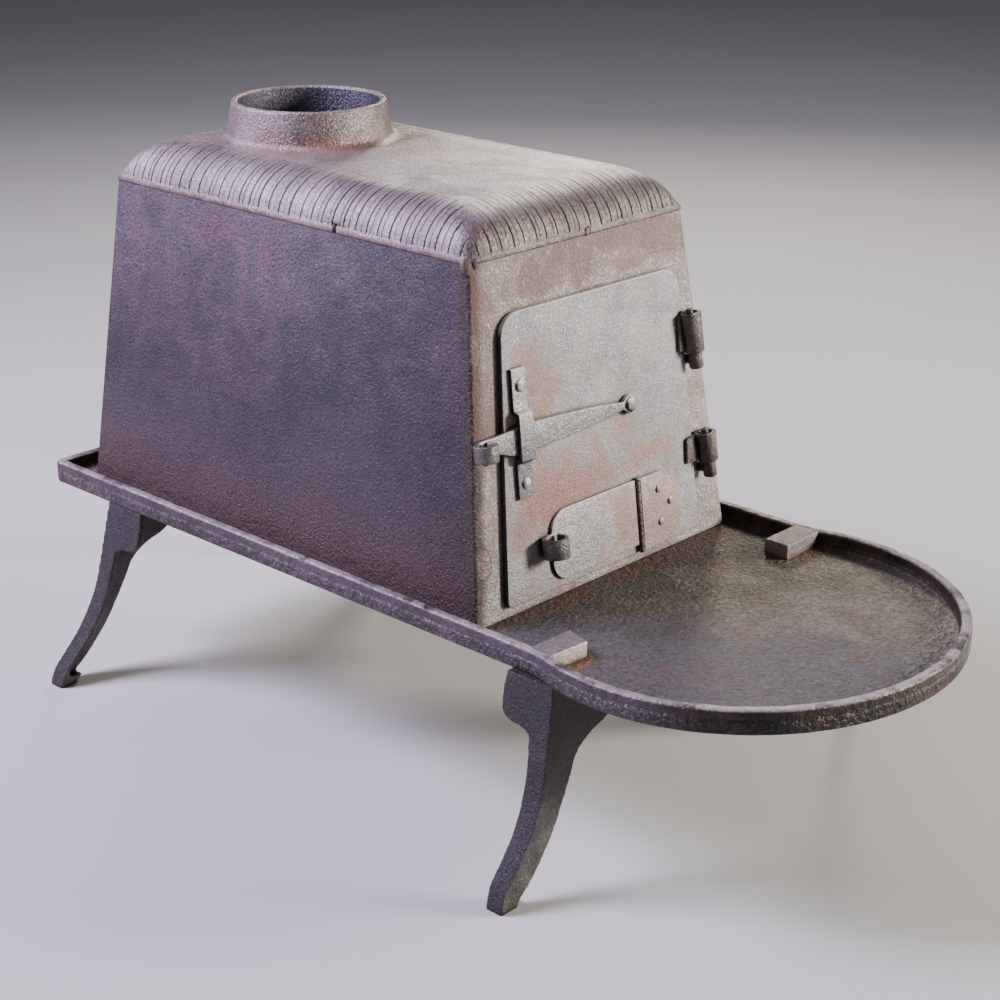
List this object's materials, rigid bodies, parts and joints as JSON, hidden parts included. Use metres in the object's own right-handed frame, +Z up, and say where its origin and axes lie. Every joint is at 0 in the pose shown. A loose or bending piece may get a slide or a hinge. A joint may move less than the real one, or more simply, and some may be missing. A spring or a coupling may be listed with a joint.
{
  "type": "box stove",
  "caption": "Small rusty cast-iron box stove: tapered firebox on a pan with a round hearth, ribbed top with flue collar, hinged door with latch and draft flap, curved legs.",
  "frame": {"origin": "on the ground, under the middle of the stove's bounding box", "axes": "+Z up; the door and hearth face -Y; +X is the hinge side of the door"},
  "size_m": [0.4852, 0.8661, 0.5416],
  "materials": {
    "pan_iron": "sooty cast iron with a worn brown rim",
    "body_iron": "slate and plum iron with red rust patches",
    "top_iron": "worn greige iron, ribbed round the shoulder",
    "door_iron": "pale grey iron with pink rust blooms",
    "leg_iron": "dark pebbled iron with worn edges",
    "fitting_iron": "rubbed grey iron fittings"
  },
  "bodies": {
    "stove": {"base_pan": "pan_iron", "firebox_body": "body_iron", "top_plate": "top_iron", "front_left_leg": "leg_iron", "front_right_leg": "leg_iron", "rear_left_leg": "leg_iron", "rear_right_leg": "leg_iron", "upper_hinge_pin": "fitting_iron", "lower_hinge_pin": "fitting_iron", "latch_catch": "fitting_iron"},
    "door": {"door_plate": "door_iron", "latch_keeper": "fitting_iron", "upper_keeper_rivet": "fitting_iron", "lower_keeper_rivet": "fitting_iron", "latch_pivot_rivet": "fitting_iron", "draft_hinge_leaf": "fitting_iron", "upper_leaf_rivet": "fitting_iron", "middle_leaf_rivet": "fitting_iron", "lower_leaf_rivet": "fitting_iron", "draft_hinge_pin": "fitting_iron"},
    "latch": {"latch_arm": "fitting_iron"},
    "flap": {"draft_flap": "fitting_iron"}
  },
  "joints": [
    {"name": "door_hinge", "type": "hinge", "parent": "stove", "child": "door", "pos_m": [0.129, -0.11138, 0.27839], "axis": [-0.0914, 0.1285, 0.9875], "range_deg": [0, 110]},
    {"name": "latch_lift", "type": "hinge", "parent": "door", "child": "latch", "pos_m": [0.034, -0.09963, 0.32456], "axis": [0, 0.9916, -0.129], "range_deg": [0, 3.6]},
    {"name": "draft_flap_hinge", "type": "hinge", "parent": "door", "child": "flap", "pos_m": [0.0371, -0.11472, 0.22871], "axis": [0, 0.129, 0.9916], "range_deg": [0, 100]}
  ]
}
